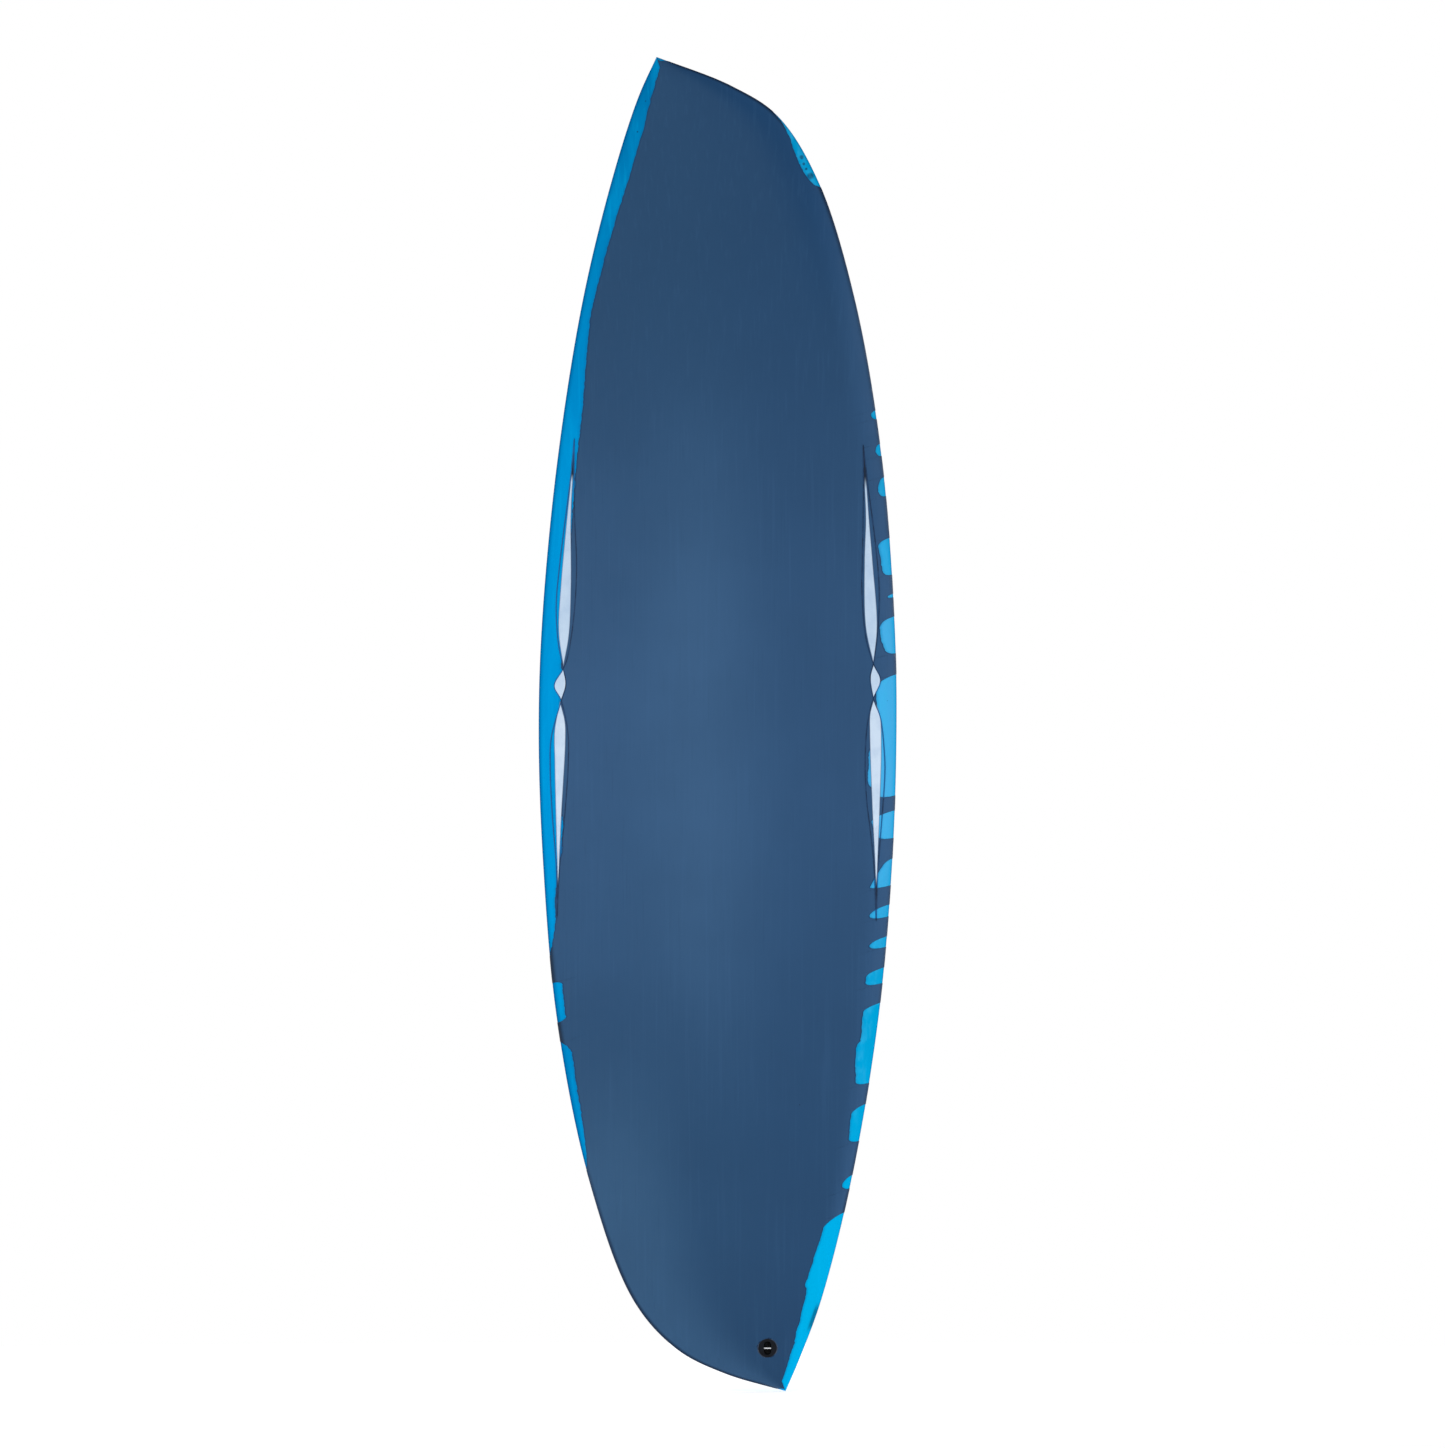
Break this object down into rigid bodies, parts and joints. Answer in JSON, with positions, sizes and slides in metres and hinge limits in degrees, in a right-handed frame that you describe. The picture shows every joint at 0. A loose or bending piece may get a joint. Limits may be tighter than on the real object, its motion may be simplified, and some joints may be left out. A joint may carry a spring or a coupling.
{
  "type": "surfboard",
  "caption": "Asymmetric shortboard with a foam core, wooden stringer, tinted glass skins, a leash cup and removable fins in boxes with grub screws.",
  "frame": {"origin": "middle of the flat stretch of the bottom, on the stringer line", "axes": "+Z to the nose, +Y out of the bottom on the fin side, -Y out of the deck, +X to the toe-side rail"},
  "size_m": [0.5059, 0.2261, 1.882],
  "materials": {
    "deck_tint": "matte",
    "bottom_tint": "gloss",
    "foam": "matte",
    "wood": "matte",
    "cup_plastic": "satin",
    "pin_steel": "satin",
    "box_plastic": "satin",
    "fin_glass": "gloss",
    "screw_steel": "satin"
  },
  "bodies": {
    "board": {"wooden_stringer": "wood", "foam_blank_heel_side": "foam", "foam_blank_toe_side": "foam", "deck_laminate": "deck_tint", "bottom_laminate": "bottom_tint", "leash_cup": "cup_plastic", "leash_pin": "pin_steel", "fin_box_toe": "box_plastic", "fin_box_heel_front": "box_plastic", "fin_box_heel_rear": "box_plastic"},
    "fin_toe": {"fin_toe": "fin_glass"},
    "grub_screw_toe_front": {"grub_screw_toe_front": "screw_steel"},
    "grub_screw_toe_rear": {"grub_screw_toe_rear": "screw_steel"},
    "fin_heel_front": {"fin_heel_front": "fin_glass"},
    "grub_screw_heel_front_front": {"grub_screw_heel_front_front": "screw_steel"},
    "grub_screw_heel_front_rear": {"grub_screw_heel_front_rear": "screw_steel"},
    "fin_heel_rear": {"fin_heel_rear": "fin_glass"},
    "grub_screw_heel_rear_front": {"grub_screw_heel_rear_front": "screw_steel"},
    "grub_screw_heel_rear_rear": {"grub_screw_heel_rear_rear": "screw_steel"}
  },
  "joints": [
    {"name": "fin_toe_slide", "type": "slide", "parent": "board", "child": "fin_toe", "axis": [0.0001, 0.9959, -0.0909], "range_m": [0, 0.02]},
    {"name": "grub_screw_toe_front_turn", "type": "hinge", "parent": "board", "child": "grub_screw_toe_front", "pos_m": [0.14192, -0.02535, -0.6577], "axis": [0.0001, 0.9959, -0.0909], "range_deg": [0, 900]},
    {"name": "grub_screw_toe_rear_turn", "type": "hinge", "parent": "board", "child": "grub_screw_toe_rear", "pos_m": [0.14486, -0.03043, -0.71339], "axis": [0.0001, 0.9959, -0.0909], "range_deg": [0, 900]},
    {"name": "fin_heel_front_slide", "type": "slide", "parent": "board", "child": "fin_heel_front", "axis": [0, 0.9964, -0.0842], "range_m": [0, 0.02]},
    {"name": "grub_screw_heel_front_front_turn", "type": "hinge", "parent": "board", "child": "grub_screw_heel_front_front", "pos_m": [-0.14592, -0.0215, -0.61168], "axis": [0, 0.9964, -0.0842], "range_deg": [0, 900]},
    {"name": "grub_screw_heel_front_rear_turn", "type": "hinge", "parent": "board", "child": "grub_screw_heel_front_rear", "pos_m": [-0.14885, -0.02621, -0.66741], "axis": [0, 0.9964, -0.0842], "range_deg": [0, 900]},
    {"name": "fin_heel_rear_slide", "type": "slide", "parent": "board", "child": "fin_heel_rear", "axis": [0.0001, 0.9947, -0.103], "range_m": [0, 0.02]},
    {"name": "grub_screw_heel_rear_front_turn", "type": "hinge", "parent": "board", "child": "grub_screw_heel_rear_front", "pos_m": [-0.08992, -0.03337, -0.74372], "axis": [0.0001, 0.9947, -0.103], "range_deg": [0, 900]},
    {"name": "grub_screw_heel_rear_rear_turn", "type": "hinge", "parent": "board", "child": "grub_screw_heel_rear_rear", "pos_m": [-0.09285, -0.03913, -0.79934], "axis": [0.0001, 0.9947, -0.103], "range_deg": [0, 900]}
  ]
}
